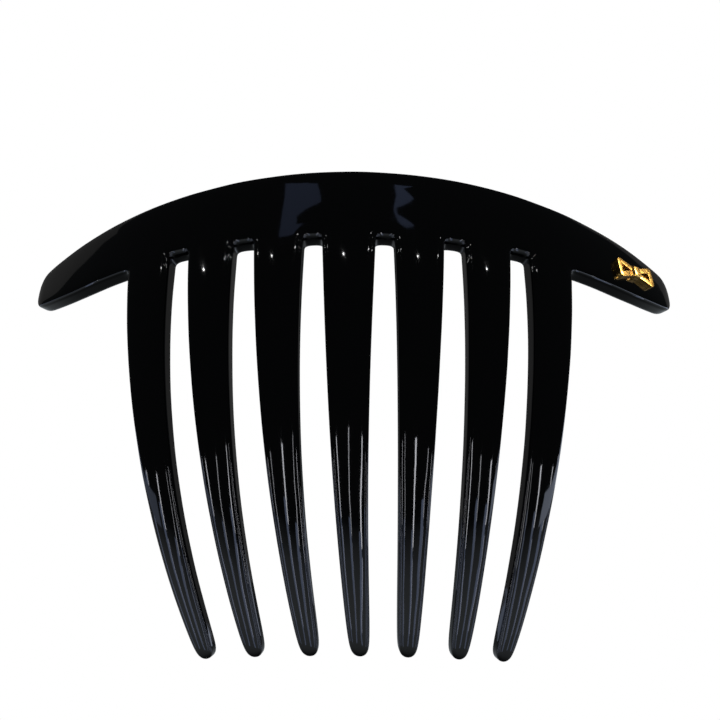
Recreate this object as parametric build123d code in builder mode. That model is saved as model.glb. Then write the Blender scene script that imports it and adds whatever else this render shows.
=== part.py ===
from build123d import *
import os
from math import asin, cos, degrees, radians, sin, sqrt

# A side comb for the hair: an arched band with drooping wings, seven tapered teeth and a small
# metal emblem. All sizes in mm. The convex front faces -Y, +X is to the right of it, +Z is up.
# The origin is on the middle of the sheet, on the centre tooth a little below its root. Band and
# teeth follow one double-curved sheet that leans back, so that the tips of the wings and of the
# teeth come to about the same depth behind the front.

# The sheet
wrap_radius = 71.5             # round the wrap axis, which passes behind the comb
profile_radius = 90.5          # side profile, root to tip
lean_back = 30.0               # degrees that the wrap axis leans away at the top

# Band, with places along it measured round the wrap and heights along the wrap axis
band_thickness = 3.4
wing_end_thickness = 3.0
band_edge_round = 0.9
end_thickness_share = 0.3      # of the wing's thickness, left at the very end of it
crown_height = 17.2            # top edge, in the middle
crown_arc_radius = 378.0
wing_round_start = 59.6        # place where the wing starts to round off
underside_height = 3.3         # the wing's lower edge, which is level at first
underside_level_end = 46.0     # place from which that edge rises
underside_arc_radius = 60.0

# Gaps between the tooth roots
gap_top_height = 3.4           # in the middle of the comb
gap_top_arc_radius = 950.0     # the gaps further out are a little higher
gap_corner_radius = 1.2
root_clearance = 0.05          # a tooth is this much inside its root, on each side

# Teeth
tooth_pitch = 9.1              # degrees round the wrap
root_widths = (8.5, 8.0, 7.8, 7.9)    # from the centre tooth outwards
tip_width = 3.35
root_thickness = 3.2
tip_thickness = 2.4
tip_depth = 59.4               # centre tip below the origin, along the wrap axis
tip_rise = 1.4                 # the outermost tips are this much higher
tip_round_length = 2.0
tooth_edge_round = 1.2
tooth_sweep = 1.7              # degrees that the tips drift to the right
sweep_power = 3.8              # most of that drift is near the tip
seam_drop = 1.6                # the teeth begin this far below the top of the middle gap
tooth_tenon = 2.0              # each tooth starts this far above the seam and is trimmed to it
tenon_shrink = 0.85            # size of that start, so that it stays within the band

# Emblem: a ribbon bow on the right wing, held by two studs
emblem_inset = 7.3             # its middle is this far before the wing rounds off
emblem_lift = -1.3             # above the middle of the wing
emblem_tilt = 7.0              # degrees, right end up
bow_length = 9.6
bow_width = 4.4
bow_ribbon = 0.95
bow_waist = 1.3
bow_corner = 1.0
bow_rise = 1.0
bow_sink = 0.7                 # the back starts this deep and is cut to the wing's surface
knot_length = 1.9
knot_width = 2.2
knot_rise = 1.35
stud_radius = 0.4
stud_clearance = 0.03
stud_floor = 1.1               # plastic left behind a stud

cut_reach = 8.0                # half length of a cutting tool through the sheet
round_limit = 0.45             # no edge is rounded by more than this share of what it rounds
band_steps = 9                 # sections from the middle to the outer tooth
wing_steps = 6                 # sections from the hollow corner to where the wing rounds off
corner_turns = (25, 55, 90)    # degrees round the hollow corner
tooth_steps = 8                # sections down the straight part of a tooth
end_turns = (18, 36, 54, 68, 79)    # degrees round the end of a wing or of a tooth

os.makedirs("parts", exist_ok=True)

seam_height = gap_top_height - seam_drop

# The wing's lower edge starts beside the outer tooth, with a hollow corner down to the seam
wing_root = radians(3 * tooth_pitch) * wrap_radius + root_widths[3] / 2
corner_radius = underside_height - seam_height

# Directions of the leaning wrap axis and of its front
axis_up = Vector(0, sin(radians(lean_back)), cos(radians(lean_back)))
axis_back = Vector(0, cos(radians(lean_back)), -sin(radians(lean_back)))
axis_centre = axis_back * wrap_radius


def outward(turn):
    """Unit vector away from the wrap axis, at an angle in degrees from the front."""
    return Vector(sin(radians(turn)), 0, 0) - axis_back * cos(radians(turn))


def along(turn):
    """Unit vector round the wrap, to the right."""
    return Vector(cos(radians(turn)), 0, 0) + axis_back * sin(radians(turn))


def slant(height):
    """Angle in radians between the side profile and the wrap axis."""
    return asin(height / profile_radius)


def sheet_radius(height):
    """Distance of the middle of the sheet from the wrap axis."""
    return wrap_radius - profile_radius * (1 - cos(slant(height)))


def sheet_point(turn, height):
    return axis_centre + outward(turn) * sheet_radius(height) + axis_up * height


def sheet_normal(turn, height):
    return outward(turn) * cos(slant(height)) + axis_up * sin(slant(height))


def upright_plane(turn):
    """Plane through the wrap axis: x is the distance from the axis, y is the height."""
    return Plane(origin=axis_centre, x_dir=outward(turn), z_dir=-along(turn))


def band_top(place):
    return crown_height - crown_arc_radius + sqrt(crown_arc_radius**2 - place**2)


def band_bottom(place):
    """Lower edge: the seam, then the hollow corner, then the wing's level and rising edge."""
    beyond = abs(place) - wing_root
    if beyond <= 0:
        return seam_height
    inside_corner = max(0.0, 1 - beyond / corner_radius)
    rise = max(0.0, abs(place) - underside_level_end) ** 2 / (2 * underside_arc_radius)
    return underside_height + rise - corner_radius * (1 - sqrt(1 - inside_corner**2))


def sheet_thickness(place):
    share = max(0.0, abs(place) - wing_root) / (wing_round_start - wing_root)
    return band_thickness + share * (wing_end_thickness - band_thickness)


def gap_top(place):
    return gap_top_height + place**2 / (2 * gap_top_arc_radius)


# Band: upright sections from wing end to wing end. The ends round off in the last few of them,
# where height and thickness follow a circle.
end_top = band_top(wing_round_start)
end_bottom = band_bottom(wing_round_start)
end_radius = (end_top - end_bottom) / 2

places = [wing_root * step / band_steps for step in range(band_steps + 1)]
places += [wing_root + corner_radius * (1 - cos(radians(turn))) for turn in corner_turns]
wing_start = places[-1]
wing_length = wing_round_start - wing_start
places += [wing_start + wing_length * step / wing_steps for step in range(1, wing_steps + 1)]
sections = [(place, band_bottom(place), band_top(place), sheet_thickness(place)) for place in places]
for turn in end_turns:
    shrink = cos(radians(turn))
    middle = (end_top + end_bottom) / 2
    thickness = wing_end_thickness * (end_thickness_share + (1 - end_thickness_share) * shrink)
    place = wing_round_start + end_radius * sin(radians(turn))
    sections.append((place, middle - end_radius * shrink, middle + end_radius * shrink, thickness))
sections = [(-place, low, high, thick) for place, low, high, thick in sections[:0:-1]] + sections


def section_point(distance, angle):
    """Point of a section, at a distance from the side profile's centre and an angle round it."""
    return Vector(wrap_radius - profile_radius + distance * cos(angle), distance * sin(angle))


with BuildPart() as band:
    for place, low, high, thickness in sections:
        front = profile_radius + thickness / 2
        back = profile_radius - thickness / 2
        edge = min(band_edge_round, round_limit * thickness, round_limit * (high - low))
        with BuildSketch(upright_plane(degrees(place / wrap_radius))):
            with BuildLine():
                front_arc = ThreePointArc(
                    section_point(front, slant(low)),
                    section_point(front, (slant(low) + slant(high)) / 2),
                    section_point(front, slant(high)),
                )
                back_arc = ThreePointArc(
                    section_point(back, slant(high)),
                    section_point(back, (slant(low) + slant(high)) / 2),
                    section_point(back, slant(low)),
                )
                Line(front_arc @ 1, back_arc @ 0)
                Line(back_arc @ 1, front_arc @ 0)
            make_face()
            fillet(vertices(), edge)
    loft(ruled=True)
    # Gaps between the teeth, cut square through the sheet with rounded top corners
    for gap in range(-3, 3):
        turn = (gap + 0.5) * tooth_pitch
        place = radians(turn) * wrap_radius
        pitch_length = 2 * sheet_radius(seam_height) * sin(radians(tooth_pitch) / 2)
        half_gap = (pitch_length - (root_widths[abs(gap)] + root_widths[abs(gap + 1)]) / 2) / 2
        half_gap -= root_clearance
        rise = place / gap_top_arc_radius * half_gap
        facing = Plane(
            origin=sheet_point(turn, seam_height),
            x_dir=along(turn),
            z_dir=outward(turn),
        )
        with BuildSketch(facing):
            with BuildLine():
                Polyline(
                    (-half_gap, -seam_drop),
                    (half_gap, -seam_drop),
                    (half_gap, gap_top(place) - seam_height + rise),
                    (-half_gap, gap_top(place) - seam_height - rise),
                    close=True,
                )
            make_face()
            top_corners = vertices().sort_by(Axis(facing.origin, axis_up))[-2:]
            fillet(top_corners, min(gap_corner_radius, round_limit * 2 * half_gap))
        extrude(amount=cut_reach, both=True, mode=Mode.SUBTRACT)

# Teeth: a loft down each centre line, whose top is trimmed to the band's lower edge
teeth = []
for number in range(-3, 4):
    root_width = root_widths[abs(number)]
    root_slant = slant(seam_height)
    tip_slant = slant(tip_rise * (number / 3) ** 2 - tip_depth)
    tooth_length = profile_radius * (root_slant - tip_slant)
    straight_length = tooth_length - tip_round_length
    stations = [(-tooth_tenon, tenon_shrink)]
    stations += [(straight_length * step / tooth_steps, 1.0) for step in range(tooth_steps + 1)]
    for end_turn in end_turns:
        reach = straight_length + tip_round_length * sin(radians(end_turn))
        stations.append((reach, cos(radians(end_turn))))
    with BuildPart() as tooth:
        for distance, shrink in stations:
            share = min(1.0, max(0.0, distance / straight_length))
            turn = number * tooth_pitch + tooth_sweep * share**sweep_power
            width = (root_width + share * (tip_width - root_width)) * shrink
            thickness = (root_thickness + share * (tip_thickness - root_thickness)) * shrink
            height = profile_radius * sin(root_slant - distance / profile_radius)
            upwards = sheet_normal(turn, height).cross(along(turn))
            section_plane = Plane(origin=sheet_point(turn, height), x_dir=along(turn), z_dir=upwards)
            with BuildSketch(section_plane):
                RectangleRounded(width, thickness, min(tooth_edge_round, round_limit * thickness))
        loft(ruled=True)
        add(band.part, mode=Mode.SUBTRACT)
    tooth.part.label = f"tooth_{number + 4}"
    teeth.append(tooth.part)

# Emblem: two ribbon loops and a knot, cut to the wing's surface behind
emblem_place = wing_round_start - emblem_inset
emblem_height = (band_bottom(emblem_place) + band_top(emblem_place)) / 2 + emblem_lift
emblem_turn = degrees(emblem_place / wrap_radius)
emblem_out = sheet_normal(emblem_turn, emblem_height)
wing_thickness = sheet_thickness(emblem_place)
emblem_seat = sheet_point(emblem_turn, emblem_height) + emblem_out * (wing_thickness / 2)
stud_length = wing_thickness - stud_floor
tilt = radians(emblem_tilt)
emblem_across = along(emblem_turn) * cos(tilt) + emblem_out.cross(along(emblem_turn)) * sin(tilt)
emblem_plane = Plane(origin=emblem_seat, x_dir=emblem_across, z_dir=emblem_out)
stud_places = [(side * (bow_length - bow_ribbon) / 2, 0) for side in (-1, 1)]

with BuildPart() as emblem:
    for side in (-1, 1):
        with BuildSketch(emblem_plane.offset(-bow_sink)):
            with BuildLine():
                Polyline(
                    (0, -bow_waist / 2),
                    (side * bow_length / 2, -bow_width / 2),
                    (side * bow_length / 2, bow_width / 2),
                    (0, bow_waist / 2),
                    close=True,
                )
            make_face()
            outer = vertices().sort_by(Axis(emblem_plane.origin, emblem_across * side))[-2:]
            fillet(outer, bow_corner)
            offset(amount=-bow_ribbon, kind=Kind.INTERSECTION, mode=Mode.SUBTRACT)
        extrude(amount=bow_sink + bow_rise)
    with BuildSketch(emblem_plane.offset(-bow_sink)):
        RectangleRounded(knot_length, knot_width, round_limit * knot_length)
    extrude(amount=bow_sink + knot_rise)
    add(band.part, mode=Mode.SUBTRACT)
emblem.part.label = "emblem"

with BuildPart() as emblem_studs:
    with BuildSketch(emblem_plane.offset(-stud_length)):
        with Locations(*stud_places):
            Circle(stud_radius)
    extrude(amount=stud_length + bow_sink)
    add(emblem.part, mode=Mode.SUBTRACT)
emblem_studs.part.label = "emblem_studs"

with BuildPart() as drilled_band:
    add(band.part)
    with BuildSketch(emblem_plane.offset(-stud_length - stud_clearance)):
        with Locations(*stud_places):
            Circle(stud_radius + stud_clearance)
    extrude(amount=stud_length + bow_sink, mode=Mode.SUBTRACT)
drilled_band.part.label = "band"

for piece in [drilled_band.part, *teeth, emblem.part, emblem_studs.part]:
    export_step(piece, f"parts/{piece.label}.step")
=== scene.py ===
import bmesh
import bpy
from math import cos, radians, sin, tan
from mathutils import Matrix, Vector, noise


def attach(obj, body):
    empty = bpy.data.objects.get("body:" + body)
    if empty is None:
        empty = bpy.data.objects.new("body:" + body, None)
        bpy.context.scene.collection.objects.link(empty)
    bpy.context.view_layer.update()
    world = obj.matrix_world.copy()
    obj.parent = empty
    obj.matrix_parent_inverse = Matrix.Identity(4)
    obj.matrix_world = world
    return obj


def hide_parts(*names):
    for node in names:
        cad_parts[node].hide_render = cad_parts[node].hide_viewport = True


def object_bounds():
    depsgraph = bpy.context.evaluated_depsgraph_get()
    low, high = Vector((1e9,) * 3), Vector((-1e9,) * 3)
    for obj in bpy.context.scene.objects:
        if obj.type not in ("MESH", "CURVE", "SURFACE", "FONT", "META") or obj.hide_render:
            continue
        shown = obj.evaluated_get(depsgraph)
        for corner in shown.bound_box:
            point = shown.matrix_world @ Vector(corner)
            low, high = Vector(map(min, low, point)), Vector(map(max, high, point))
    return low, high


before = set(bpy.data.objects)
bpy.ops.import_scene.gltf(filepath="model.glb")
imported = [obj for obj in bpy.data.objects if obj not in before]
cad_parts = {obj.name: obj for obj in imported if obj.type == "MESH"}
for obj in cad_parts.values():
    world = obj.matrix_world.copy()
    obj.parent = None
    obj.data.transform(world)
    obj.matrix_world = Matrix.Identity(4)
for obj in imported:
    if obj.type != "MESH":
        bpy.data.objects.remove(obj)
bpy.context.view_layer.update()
scene = bpy.context.scene
scene.view_settings.view_transform = "Standard"     # a pure white ground and a deep black comb
mm = 0.001


def deselectAll():
    if bpy.context.object and bpy.context.object.mode == "EDIT":
        bpy.ops.object.mode_set(mode="OBJECT")
    bpy.ops.object.select_all(action="DESELECT")


def makeActive(piece):
    deselectAll()
    bpy.context.view_layer.objects.active = piece
    piece.select_set(True)


def startEdit(piece):
    makeActive(piece)
    bpy.ops.object.mode_set(mode="EDIT")


def pick(kind, isWanted):       # selects only what passes the test, from its middle and its normal
    bpy.ops.mesh.select_mode(type=kind)
    bpy.ops.mesh.select_all(action="DESELECT")
    work = bmesh.from_edit_mesh(bpy.context.edit_object.data)
    work.normal_update()
    for item in {"VERT": work.verts, "EDGE": work.edges, "FACE": work.faces}[kind]:
        points = [item.co] if kind == "VERT" else [point.co for point in item.verts]
        middle = sum(points, Vector()) / len(points)
        normal = item.normal if kind != "EDGE" else None
        if isWanted(middle, normal):
            item.select_set(True)
    work.select_flush_mode()
    bmesh.update_edit_mesh(bpy.context.edit_object.data)


def addModifier(piece, kind, **settings):
    makeActive(piece)
    modifier = piece.modifiers.new(kind.title(), kind)
    for name, value in settings.items():
        setattr(modifier, name, value)
    bpy.ops.object.modifier_apply(modifier=modifier.name)


def finishPiece(piece, name, material, slot, *nodes):
    makeActive(piece)
    piece.name = name
    piece.data.name = name
    piece.data.materials.clear()
    piece.data.materials.append(material)
    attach(piece, "root")
    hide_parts(*nodes)
    print(name, "made,", len(piece.data.polygons), "faces")


def linear(hexColour):          # sRGB hex to the linear colour that shaders want
    parts = [int(hexColour[i:i + 2], 16) / 255 for i in (1, 3, 5)]
    return (*[c / 12.92 if c <= 0.04045 else ((c + 0.055) / 1.055) ** 2.4 for c in parts], 1)


def newMaterial(name):
    material = bpy.data.materials.new(name)
    material.use_nodes = True
    material.node_tree.nodes.clear()
    return material, material.node_tree


def addNode(tree, kind, settings=None, links=None):
    node = tree.nodes.new(kind)
    for name, value in (settings or {}).items():
        if isinstance(name, int) or name in node.inputs:
            node.inputs[name].default_value = value
        else:
            setattr(node, name, value)
    for name, source in (links or {}).items():
        tree.links.new(source, node.inputs[name])
    return node


acetate = {
    "colour": "#050506",
    "ior": 1.49,
    "roughness": (0.04, 0.06),
    "rippleSize": 3.2,          # mm, faint ripples left by the buffing wheel
    "rippleHeight": 0.012,
    "hairWidth": 0.6,           # mm, buffing hairlines, drawn coarser than the real 0.02 so that they show
    "hairLength": 14.0,
    "hairHeight": 0.00012,
}


# cellulose acetate, moulded and buffed: deep black with a wet, slightly wavy gloss
def makeAcetate():
    material, tree = newMaterial("buffedBlackAcetate")
    place = addNode(tree, "ShaderNodeTexCoord").outputs["Object"]
    ripples = addNode(tree, "ShaderNodeTexNoise", {"Scale": 1 / (acetate["rippleSize"] * mm), "Detail": 1.0},
                      {"Vector": place})
    stretch = (1, 1, acetate["hairWidth"] / acetate["hairLength"])
    stretched = addNode(tree, "ShaderNodeMapping", {"Scale": stretch}, {"Vector": place})
    hairs = addNode(tree, "ShaderNodeTexNoise", {"Scale": 1 / (acetate["hairWidth"] * mm), "Detail": 2.0},
                    {"Vector": stretched.outputs["Vector"]})
    low, high = acetate["roughness"]
    rough = addNode(tree, "ShaderNodeMapRange",
                    {"From Min": 0.35, "From Max": 0.7, "To Min": low, "To Max": high},
                    {"Value": hairs.outputs["Fac"]})
    slow = addNode(tree, "ShaderNodeBump", {"Strength": 1.0, "Distance": acetate["rippleHeight"] * mm},
                   {"Height": ripples.outputs["Fac"]})
    fine = addNode(tree, "ShaderNodeBump", {"Strength": 1.0, "Distance": acetate["hairHeight"] * mm},
                   {"Height": hairs.outputs["Fac"], "Normal": slow.outputs["Normal"]})
    shader = addNode(tree, "ShaderNodeBsdfPrincipled",
                     {"Base Color": linear(acetate["colour"]), "IOR": acetate["ior"]},
                     {"Roughness": rough.outputs["Result"], "Normal": fine.outputs["Normal"]})
    addNode(tree, "ShaderNodeOutputMaterial", links={"Surface": shader.outputs["BSDF"]})
    return material


gilt = {
    "colour": "#F0C878",
    "deep": "#D3A14A",          # in the hollows of the grain
    "roughness": (0.20, 0.34),
    "grainSize": 0.6,           # mm, what tumbling leaves of the casting's surface
    "grainHeight": 0.0005,
}


# gold-plated brass, cast and tumbled: warm glints on soft, slightly dull faces
def makeGilt():
    material, tree = newMaterial("tumbledGoldPlate")
    place = addNode(tree, "ShaderNodeTexCoord").outputs["Object"]
    grain = addNode(tree, "ShaderNodeTexNoise", {"Scale": 1 / (gilt["grainSize"] * mm), "Detail": 3.0},
                    {"Vector": place})
    colour = addNode(tree, "ShaderNodeMix",
                     {"data_type": "RGBA", 6: linear(gilt["deep"]), 7: linear(gilt["colour"])},
                     {"Factor": grain.outputs["Fac"]})
    low, high = gilt["roughness"]
    rough = addNode(tree, "ShaderNodeMapRange",
                    {"From Min": 0.3, "From Max": 0.7, "To Min": high, "To Max": low},
                    {"Value": grain.outputs["Fac"]})
    bump = addNode(tree, "ShaderNodeBump", {"Strength": 1.0, "Distance": gilt["grainHeight"] * mm},
                   {"Height": grain.outputs["Fac"]})
    shader = addNode(tree, "ShaderNodeBsdfPrincipled", {"Metallic": 1.0},
                     {"Base Color": colour.outputs[2], "Roughness": rough.outputs["Result"],
                      "Normal": bump.outputs["Normal"]})
    addNode(tree, "ShaderNodeOutputMaterial", links={"Surface": shader.outputs["BSDF"]})
    return material


acetateMaterial = makeAcetate()
giltMaterial = makeGilt()
print("materials made")

# the double-curved sheet that band and teeth follow, in mm and degrees
sheet = {"wrapRadius": 71.5, "profileRadius": 90.5, "leanBack": 30.0}
lean = radians(sheet["leanBack"])
axisUp = Vector((0, sin(lean), cos(lean)))
axisBack = Vector((0, cos(lean), -sin(lean)))


def sheetRadius(length):        # from the wrap axis, at a length in mm up the profile
    return sheet["wrapRadius"] - sheet["profileRadius"] * (1 - cos(length / sheet["profileRadius"]))


def sheetOutward(place):
    turn = place / sheet["wrapRadius"]
    return Vector((sin(turn), 0, 0)) - axisBack * cos(turn)


def sheetNormal(place, length):
    slant = length / sheet["profileRadius"]
    return sheetOutward(place) * cos(slant) + axisUp * sin(slant)


# from mm round the wrap, up the profile and in front of the sheet, to a point in metres
def onSheet(place, length, out=0.0):
    slant = length / sheet["profileRadius"]
    point = axisBack * sheet["wrapRadius"] + sheetOutward(place) * sheetRadius(length)
    point += axisUp * sheet["profileRadius"] * sin(slant)
    return (point + sheetNormal(place, length) * out) * mm


comb = {                        # the moulding, with lengths up the profile from the origin
    "thickness": 3.4,
    "wingThickness": 3.0,
    "tipThickness": 2.4,
    "crown": 17.45,             # top edge in the middle
    "crownArc": 325.0,
    "wingRound": 59.6,          # place where the wing begins to round off
    "wingEnd": 62.9,
    "wingDrift": 0.8,           # both wing ends sit this much to the right
    "wingColumns": (41.0, 46.0, 51.0, 55.5, 58.4, 61.2),
    "endHalves": (0.91, 0.38),  # share of the wing's height kept in its last two columns
    "endThinning": 0.45,        # share of its thickness lost there
    "underside": 3.3,           # the wing's lower edge, level at first
    "undersideLevel": 48.0,     # place from which it rises
    "undersideArc": 50.0,
    "toothPitch": 9.1,          # degrees
    "rootHalves": (4.25, 4.0, 3.9, 3.95),   # half widths, from the centre tooth outwards
    "tipHalf": 1.68,
    "seam": 1.8,                # where a tooth has its root width
    "tip": -64.1,               # corners of the centre tip
    "tipPoint": 0.6,            # the middle of a tip reaches this much further
    "tipRise": 1.5,             # the outermost tips are this much higher
    "tipRound": 2.6,
    "tipNarrow": 0.8,           # width of a tip's last row, as a share
    "rootDrop": 2.5,            # the first even row of a tooth is this far below the seam
    "toothSteps": 5,
    "sweeps": (1.6, 1.7, 2.45, 2.15, 1.55, 1.8, 1.15),    # degrees that the tips drift to the right
    "sweepPower": 3.2,
    "gapTop": 3.4,              # in the middle of a gap
    "gapCornerDrop": 0.25,
    "gapCornerLoop": 0.75,      # columns and stations this close to a gap's corners keep them tight
    "gapArc": 950.0,
    "gapFlare": (0.22, 0.55),   # how far the front lip of a gap's top is rolled back and up
    "edgeInset": 1.2,
    "wallLoops": 0.5,
    "edgeSoft": 0.86,           # how far the outline's edges are drawn in from the full thickness
    "toothCrown": 0.15,
    "waveSize": 5.5,            # slow unevenness of the buffed faces
    "waveHeight": 0.055,
    "smoothness": 3,
}
pitch = radians(comb["toothPitch"]) * sheet["wrapRadius"]
rootEdge = 3 * pitch + comb["rootHalves"][3]


def upperEdge(place):
    return comb["crown"] - place**2 / (2 * comb["crownArc"])


def undersideEdge(place):
    return comb["underside"] + max(0.0, abs(place) - comb["undersideLevel"])**2 / (2 * comb["undersideArc"])


def gapEdge(place):
    return comb["gapTop"] + place**2 / (2 * comb["gapArc"])


def combColumns():              # (place, lower edge, upper edge) of each column of the band
    columns = []
    for tooth in range(-3, 4):
        half = comb["rootHalves"][abs(tooth)]
        for side in (-1, 0, 1):
            place = tooth * pitch + side * half
            isWing = abs(tooth) == 3 and side * tooth > 0
            drop = comb["gapCornerDrop"] if side else 0.0
            edge = undersideEdge(place) if isWing else gapEdge(place) - drop
            columns.append((place, edge, upperEdge(place)))
        if tooth < 3:
            left = tooth * pitch + half
            right = (tooth + 1) * pitch - comb["rootHalves"][abs(tooth + 1)]
            for place in (left + comb["gapCornerLoop"], (left + right) / 2, right - comb["gapCornerLoop"]):
                columns.append((place, gapEdge(place), upperEdge(place)))
    middle = (undersideEdge(comb["wingRound"]) + upperEdge(comb["wingRound"])) / 2
    half = (upperEdge(comb["wingRound"]) - undersideEdge(comb["wingRound"])) / 2
    for side in (-1, 1):
        for place in comb["wingColumns"][:-1]:
            columns.append((side * place, undersideEdge(place), upperEdge(place)))
        for place, share in zip((comb["wingColumns"][-1], comb["wingEnd"]), comb["endHalves"]):
            columns.append((side * place, middle - share * half, middle + share * half))
    return sorted(columns)


def bendPoint(point):           # from the flat cage, in mm, onto the sheet
    place, depth, length = point
    downTooth = max(0.0, (comb["seam"] - length) / (comb["seam"] - comb["tip"]))
    thickness = comb["thickness"] + (comb["tipThickness"] - comb["thickness"]) * downTooth
    if abs(place) > rootEdge:
        share = (abs(place) - rootEdge) / (comb["wingEnd"] - rootEdge)
        beyond = max(0.0, abs(place) - comb["wingRound"]) / (comb["wingEnd"] - comb["wingRound"])
        thickness += (comb["wingThickness"] - comb["thickness"]) * share
        thickness *= 1 - comb["endThinning"] * beyond**2
        place += comb["wingDrift"] * share
    spot = Vector((place, length, depth * 2)) / comb["waveSize"]
    wave = noise.noise(spot) * comb["waveHeight"] * (1 if depth < 0 else -1)
    sweep = comb["sweeps"][min(6, max(0, round(place / pitch) + 3))]
    place += radians(sweep) * sheet["wrapRadius"] * downTooth**comb["sweepPower"]
    return onSheet(place, length, wave - depth * thickness / comb["thickness"])


def growTooth(tooth):
    centre, half = tooth * pitch, comb["rootHalves"][abs(tooth)]
    tip = comb["tip"] + comb["tipRise"] * (tooth / 3)**2
    root = comb["seam"] - comb["rootDrop"]
    body = tip + comb["tipRound"]
    steps = comb["toothSteps"]
    stations = [gapEdge(centre) - 2 * comb["gapCornerLoop"]]
    stations += [root + (body - root) * step / steps for step in range(steps + 1)] + [tip]
    pick("EDGE", lambda spot, normal: abs(spot.x - centre) < half and spot.z < gapEdge(centre) + 1.5)
    width = half
    for length in stations:
        share = (comb["seam"] - length) / (comb["seam"] - tip)
        wanted = (half + (comb["tipHalf"] - half) * share) * sheet["wrapRadius"] / sheetRadius(length)
        wanted *= comb["tipNarrow"] if length == tip else 1.0
        bpy.ops.mesh.extrude_region_move(TRANSFORM_OT_translate={"value": (0, 0, -1)})
        bpy.ops.transform.resize(value=(wanted / width, 1, 0), center_override=(centre, 0, length))
        width = wanted
    pick("VERT", lambda spot, normal: abs(spot.x - centre) < 0.1 and abs(spot.z - tip) < 0.1)
    bpy.ops.transform.translate(value=(0, 0, -comb["tipPoint"]))


def makeMoulding():
    columns = combColumns()
    last = len(columns) - 1
    deselectAll()
    bpy.ops.mesh.primitive_grid_add(x_subdivisions=last, y_subdivisions=2, size=1)
    piece = bpy.context.object
    for point in piece.data.vertices:       # the flat band, each column at its place between its two edges
        place, low, high = columns[round((point.co.x + 0.5) * last)]
        point.co = (place, 0, low + (point.co.y + 0.5) * (high - low))
    startEdit(piece)
    for tooth in range(-3, 4):
        growTooth(tooth)
    # the thickness, the loops and insets that hold its edges, and the gaps' rolled front lips
    bpy.ops.mesh.select_all(action="SELECT")
    bpy.ops.transform.translate(value=(0, -comb["thickness"] / 2, 0))
    bpy.ops.mesh.extrude_region_move(TRANSFORM_OT_translate={"value": (0, comb["thickness"], 0)})
    bpy.ops.mesh.select_all(action="SELECT")
    bpy.ops.mesh.normals_make_consistent(inside=False)
    for side in (-1, 1):
        bpy.ops.mesh.select_all(action="SELECT")
        bpy.ops.mesh.bisect(plane_co=(0, side * comb["wallLoops"], 0), plane_no=(0, 1, 0))
    for side in (-1, 1):
        pick("FACE", lambda spot, normal: normal.y * side > 0.9)
        bpy.ops.mesh.inset(thickness=comb["edgeInset"], depth=0)
    full = comb["thickness"] / 2
    pick("VERT", lambda spot, normal: abs(spot.x) < rootEdge and abs(spot.y + full) < 0.01
         and gapEdge(spot.x) - 1 < spot.z < gapEdge(spot.x) + 0.3 and abs(normal.y) < 0.95)
    bpy.ops.transform.translate(value=(0, *comb["gapFlare"]))
    pick("VERT", lambda spot, normal: abs(abs(spot.y) - full) < 0.01 and abs(normal.y) < 0.95)
    bpy.ops.transform.resize(value=(1, comb["edgeSoft"], 1), center_override=(0, 0, 0))
    for tooth in range(-3, 4):      # a slight crown down the middle of each tooth
        pick("VERT", lambda spot, normal: abs(spot.x - tooth * pitch) < 0.1 and spot.y < -1
             and comb["tip"] + 2.5 < spot.z < comb["seam"])
        bpy.ops.transform.translate(value=(0, -comb["toothCrown"], 0))
    bpy.ops.object.mode_set(mode="OBJECT")
    addModifier(piece, "SUBSURF", levels=comb["smoothness"], render_levels=comb["smoothness"])
    for point in piece.data.vertices:
        point.co = bendPoint(point.co)
    makeActive(piece)
    bpy.ops.object.shade_smooth()
    teeth = [f"tooth_{number}" for number in range(1, 8)]
    finishPiece(piece, "moulding", acetateMaterial, "comb_plastic", "band", *teeth)


bow = {                         # ribbon bow on the right wing, in mm
    "place": 51.8,
    "length": 7.7,              # up the profile
    "tilt": 7.0,                # degrees, right end up
    "wingHalf": 1.56,           # half the wing's thickness there
    "span": 8.8,
    "height": 4.2,
    "waist": 1.3,
    "ribbon": 0.95,
    "corner": 1.0,
    "rise": 0.85,
    "sink": 0.3,                # below the wing's surface, so that no gap shows
    "edge": 0.2,
    "knot": (1.9, 2.2, 1.25),   # width, height and rise
    "knotEdge": 0.45,
    "sharpest": 50.0,           # degrees, edges that turn more than this are rounded
}


def placeBow(piece):            # from flat on the ground to its seat on the wing
    out = sheetNormal(bow["place"], bow["length"])
    turn = bow["place"] / sheet["wrapRadius"]
    along = Vector((cos(turn), 0, 0)) + axisBack * sin(turn)
    across = (along * cos(radians(bow["tilt"])) + out.cross(along) * sin(radians(bow["tilt"]))).normalized()
    upwards = out.cross(across)
    seat = onSheet(bow["place"], bow["length"], bow["wingHalf"])
    for point in piece.data.vertices:
        x, y, z = point.co * mm
        point.co = seat + across * x + upwards * y + out * z


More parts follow.
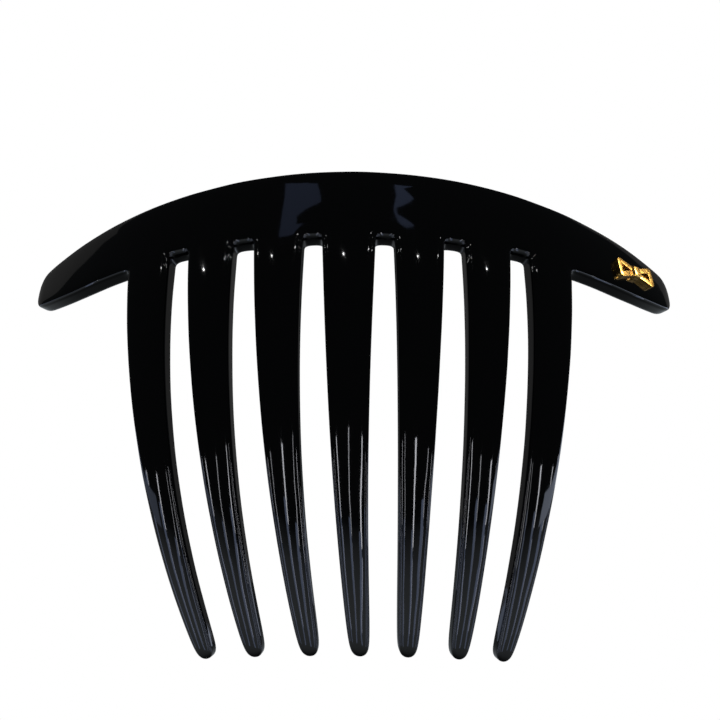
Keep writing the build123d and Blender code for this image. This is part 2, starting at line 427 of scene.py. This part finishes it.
def makeLoop(side):
    deselectAll()
    bpy.ops.mesh.primitive_plane_add(size=1, location=(0, 0, 0))
    piece = bpy.context.object
    for point in piece.data.vertices:
        isOuter = point.co.x > 0
        half = (bow["height"] if isOuter else bow["waist"]) / 2
        point.co = (bow["span"] / 2 if isOuter else 0.0, half if point.co.y > 0 else -half, -bow["sink"])
    startEdit(piece)
    pick("VERT", lambda spot, normal: spot.x > 1)
    bpy.ops.mesh.bevel(offset=bow["corner"], segments=4, affect="VERTICES")
    bpy.ops.mesh.select_all(action="SELECT")
    bpy.ops.mesh.inset(thickness=bow["ribbon"], depth=0)
    bpy.ops.mesh.delete(type="FACE")
    bpy.ops.mesh.select_all(action="SELECT")
    bpy.ops.mesh.extrude_region_move(TRANSFORM_OT_translate={"value": (0, 0, bow["rise"] + bow["sink"])})
    bpy.ops.mesh.select_all(action="SELECT")
    bpy.ops.mesh.normals_make_consistent(inside=False)
    bpy.ops.object.mode_set(mode="OBJECT")
    addModifier(piece, "BEVEL", width=bow["edge"], segments=3, limit_method="ANGLE",
                angle_limit=radians(bow["sharpest"]))
    if side < 0:
        startEdit(piece)
        bpy.ops.mesh.select_all(action="SELECT")
        bpy.ops.transform.resize(value=(-1, 1, 1), center_override=(0, 0, 0))
        bpy.ops.mesh.normals_make_consistent(inside=False)
        bpy.ops.object.mode_set(mode="OBJECT")
    return piece


def makeKnot():
    deselectAll()
    bpy.ops.mesh.primitive_cube_add(size=1, location=(0, 0, 0))
    piece = bpy.context.object
    wide, high, rise = bow["knot"]
    for point in piece.data.vertices:
        point.co = (point.co.x * wide, point.co.y * high, rise if point.co.z > 0 else -bow["sink"])
    addModifier(piece, "BEVEL", width=bow["knotEdge"], segments=4, limit_method="ANGLE",
                angle_limit=radians(bow["sharpest"]))
    return piece


def makeBow():
    parts = [makeLoop(-1), makeLoop(1), makeKnot()]
    makeActive(parts[0])
    for part in parts:
        part.select_set(True)
    bpy.ops.object.join()
    piece = bpy.context.object
    placeBow(piece)
    makeActive(piece)
    bpy.ops.object.shade_smooth_by_angle(angle=radians(35))
    finishPiece(piece, "ribbon_bow", giltMaterial, "gilt_metal", "emblem")


makeMoulding()
makeBow()
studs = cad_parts["emblem_studs"]      # these keep their CAD mesh
studs.data.materials.clear()
studs.data.materials.append(giltMaterial)

studio = {
    "table": (-3000, -400, 3000, 1500),     # mm, left, front, right and back
    "tableDrop": 0.2,           # below the tips
    # the world's glow, from straight below (0) to the horizon (0.5)
    "glowBelow": ((0.0, 0.06), (0.12, 0.10), (0.27, 0.60), (0.40, 0.36), (0.475, 0.05), (0.5, 0.03)),
    # the camera's place before it turns round the wrap axis: mm, then degrees, then the lens in mm
    "view": {"shift": (1.89, -300, -16.36), "turn": 0.61, "roll": 0.3, "lens": 93.07},
    "skylightDistance": 600.0,
    # small lamps that each glint beside the middle of a root: mm aside, mm up the profile, degrees aside
    "glints": {"aside": -0.85, "length": 0.3, "turn": -1.0, "distance": 500, "sizes": (3.2, 2.4), "glow": 90},
    "stripDistance": 380.0,
    "stripSpacing": 18.2,       # degrees, so that each tooth shows about the same streaks as the next
    "stripStart": -1.5,
    "stripFoot": -290.0,
    "stripBreak": -50.0,        # mm, where the bright part of a strip ends
    "stripStagger": 21.0,       # two strips of three end lower, by this or by twice this
    "stripDrop": 20.0,          # the middle of the teeth is about this far below the origin
    "stripDim": {"aside": 0.4, "width": 0.6, "foot": 50.0, "gap": 14.0, "glow": 0.5},
    "stripSoft": {"aside": -2.0, "halfWidth": 1.9, "overlap": 30.0, "glow": 2.4},
    # glow, half width and top in degrees, from left to right
    "strips": ((7, 0.6, 15), (11, 0.75, 16), (7, 0.5, 16), (12, 0.9, 17), (8, 0.5, 18), (13, 1.0, 17),
               (7, 0.5, 16), (11, 0.8, 17), (7, 0.6, 16), (10, 0.75, 15)),
    # name, middle and half width in degrees, foot and top in mm, colour and glow
    "sills": (("sillRight", 98, 34, -80, -28, "#D3DEF5", 2.6),
              ("sillLeft", -98, 34, -80, -40, "#C4D2F0", 1.0)),
    "wallHeights": (-60, 500),
    # name, direction from the bow, width of the disc in mm and watts
    "bowLamps": (("bowKey", (0.8, -0.1, 0.55), 190, 2.4), ("bowFill", (0.25, -0.85, -0.35), 160, 1.3)),
    "bowLampDistance": 400.0,
}


def makePaper():                # matt white paper on a light table, pure white to the eye
    material, tree = newMaterial("matWhitePaper")
    glow = addNode(tree, "ShaderNodeEmission", {"Color": linear("#FFFFFF"), "Strength": 1.0})
    addNode(tree, "ShaderNodeOutputMaterial", links={"Surface": glow.outputs[0]})
    return material


def addCard(name, corners, colour, glow):       # a glowing card that only reflections see
    mesh = bpy.data.meshes.new(name)
    mesh.from_pydata([Vector(corner) * mm for corner in corners], [], [range(len(corners))])
    card = bpy.data.objects.new(name, mesh)
    scene.collection.objects.link(card)
    material, tree = newMaterial(name)
    shader = addNode(tree, "ShaderNodeEmission", {"Color": linear(colour), "Strength": glow})
    addNode(tree, "ShaderNodeOutputMaterial", links={"Surface": shader.outputs[0]})
    mesh.materials.append(material)
    card.visible_camera = False
    return card


def addTable():                 # seen by the eye alone: the comb mirrors the glow of the world instead
    left, front, right, back = studio["table"]
    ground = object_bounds()[0].z / mm - studio["tableDrop"]
    corners = ((left, front, ground), (right, front, ground), (right, back, ground), (left, back, ground))
    table = addCard("table", corners, "#FFFFFF", 1.0)
    table.visible_camera = True
    table.visible_glossy = False
    table.visible_diffuse = False
    table.data.materials.clear()
    table.data.materials.append(makePaper())


def addWorld():                 # white behind the comb; in its reflections dark above and paper-grey below
    world = bpy.data.worlds.new("studio")
    scene.world = world
    world.use_nodes = True
    tree = world.node_tree
    tree.nodes.clear()
    direction = addNode(tree, "ShaderNodeTexCoord").outputs["Generated"]
    height = addNode(tree, "ShaderNodeSeparateXYZ", links={"Vector": direction}).outputs["Z"]
    level = addNode(tree, "ShaderNodeMapRange", {"From Min": -1.0, "From Max": 1.0}, {"Value": height})
    ramp = addNode(tree, "ShaderNodeValToRGB", links={"Fac": level.outputs["Result"]})
    ramp.color_ramp.interpolation = "B_SPLINE"
    for index, (position, glow) in enumerate(studio["glowBelow"]):
        stops = ramp.color_ramp.elements
        stop = stops[index] if index < 2 else stops.new(position)
        stop.position = position
        stop.color = (glow * 0.86, glow * 0.94, glow, 1)
    path = addNode(tree, "ShaderNodeLightPath")
    bright = addNode(tree, "ShaderNodeBackground", {"Color": linear("#FFFFFF"), "Strength": 1.0})
    dark = addNode(tree, "ShaderNodeBackground", {"Strength": 1.0}, {"Color": ramp.outputs["Color"]})
    mixed = addNode(tree, "ShaderNodeMixShader", links={0: path.outputs["Is Camera Ray"],
                                                        1: dark.outputs[0], 2: bright.outputs[0]})
    addNode(tree, "ShaderNodeOutputWorld", links={"Surface": mixed.outputs[0]})


def addCamera():
    view = studio["view"]
    cameraData = bpy.data.cameras.new("camera")
    camera = bpy.data.objects.new("camera", cameraData)
    scene.collection.objects.link(camera)
    cameraData.sensor_width = 36
    cameraData.lens = view["lens"]
    cameraData.clip_start = 0.01
    camera.matrix_world = (
        Matrix.Rotation(radians(view["turn"]), 4, axisUp)
        @ Matrix.Translation(Vector(view["shift"]) * mm)
        @ Matrix.Rotation(radians(90), 4, "X")
        @ Matrix.Rotation(radians(view["roll"]), 4, "Z")
    )
    scene.camera = camera


def mirrored(place, length, distance, aside=0.0):   # where a lamp stands to glint at a spot on the front
    spot = onSheet(place, length, comb["thickness"] / 2)
    normal = Matrix.Rotation(radians(aside), 3, axisUp) @ sheetNormal(place, length)
    toCamera = (scene.camera.matrix_world.translation - spot).normalized()
    ray = 2 * normal.dot(toCamera) * normal - toCamera
    return spot / mm + ray * distance


def addSkylights():             # two panes overhead, seen blue-grey in the band, the right one behind foliage
    panes = {
        "skylightLeft": (0.42, (-11, 15.7), (-11, 3.4), (-6, 3.2), (-6.2, 5), (-7.4, 5.6), (-7.6, 8),
                         (-5.4, 9.3), (-5.3, 15.7)),
        "skylightRight": (0.65, (6.9, 15.7), (10.6, 15.3), (8.3, 14.2), (10.9, 10.4), (7.8, 8.9), (7.8, 6.9),
                          (10.2, 5.4), (7.5, 4.4)),
    }
    for name, (glow, *corners) in panes.items():
        seen = [mirrored(*corner, studio["skylightDistance"]) for corner in corners]
        addCard(name, seen, "#AFC2F2", glow)


def addGlints():                # they sparkle at the roots of the five inner teeth
    glints = studio["glints"]
    for tooth in range(-2, 3):
        middle = mirrored(tooth * pitch + glints["aside"], glints["length"], glints["distance"],
                          aside=glints["turn"])
        size = glints["sizes"][tooth % 2]
        corners = [middle + Vector((x * size, y * size, 0)) for x, y in ((-1, -1), (1, -1), (1, 1), (-1, 1))]
        addCard(f"glint{tooth + 3}", corners, "#FFFFFF", glints["glow"])


# an upright card bent round the front, with its turns in degrees and its heights in mm
def addBand(name, middle, halfWidth, low, high, colour, glow):
    steps = max(1, round(halfWidth / 4))
    far = studio["stripDistance"]
    turns = [radians(middle + halfWidth * (2 * step / steps - 1)) for step in range(steps + 1)]
    for step in range(steps):
        left, right = turns[step], turns[step + 1]
        outline = ((left, low), (right, low), (right, high), (left, high))
        corners = [(sin(turn) * far, -cos(turn) * far, height) for turn, height in outline]
        addCard(f"{name}_{step}", corners, colour, glow)


def addStrips():                # narrow windows, seen as streaks down the teeth, bright above and dim below
    foot, dim, soft = studio["stripFoot"], studio["stripDim"], studio["stripSoft"]
    for step, (glow, halfWidth, topTurn) in enumerate(studio["strips"]):
        azimuth = studio["stripStart"] + studio["stripSpacing"] * (step - 4)
        rise = tan(radians(topTurn * cos(radians(azimuth))**2)) * studio["stripDistance"]
        low = studio["stripBreak"] - studio["stripStagger"] * (step % 3)
        addBand(f"bright{step}", azimuth, halfWidth, low, rise - studio["stripDrop"], "#F6F7FF", glow)
        addBand(f"dim{step}", azimuth + dim["aside"], dim["width"] * halfWidth, foot + dim["foot"],
                low - dim["gap"], "#DDE4FF", dim["glow"] * glow)
        addBand(f"soft{step}", azimuth + soft["aside"], soft["halfWidth"], foot, low + soft["overlap"],
                "#B9C9F0", soft["glow"])


def addSills():                 # low light at both sides, a thin line under the wings
    for sill in studio["sills"]:
        addBand(*sill)


def addWalls():                 # dim grey walls behind the wing ends
    low, high = studio["wallHeights"]
    for name, near, far, glow in (("wallLeft", (-600, 280), (-250, 560), 0.12),
                                  ("wallRight", (520, 380), (250, 560), 0.14)):
        addCard(name, ((*near, low), (*far, low), (*far, high), (*near, high)), "#FFFFFF", glow)


def addBowLamps():              # lamps for the bow alone, because the black beside it stays unlit
    lit = bpy.data.collections.new("litByBowLamps")
    lit.objects.link(bpy.data.objects["ribbon_bow"])
    for name, toward, size, power in studio["bowLamps"]:
        light = bpy.data.lights.new(name, "AREA")
        light.shape = "DISK"
        light.size = size * mm
        light.energy = power
        light.color = linear("#FFF3DC")[:3]
        lamp = bpy.data.objects.new(name, light)
        scene.collection.objects.link(lamp)
        toward = Vector(toward).normalized()
        lamp.location = onSheet(bow["place"], bow["length"]) + toward * studio["bowLampDistance"] * mm
        lamp.rotation_mode = "QUATERNION"
        lamp.rotation_quaternion = toward.to_track_quat("Z", "Y")
        lamp.light_linking.receiver_collection = lit


addTable()
addCamera()
addWorld()
addSkylights()
addGlints()
addStrips()
addSills()
addWalls()
addBowLamps()
print("studio ready")
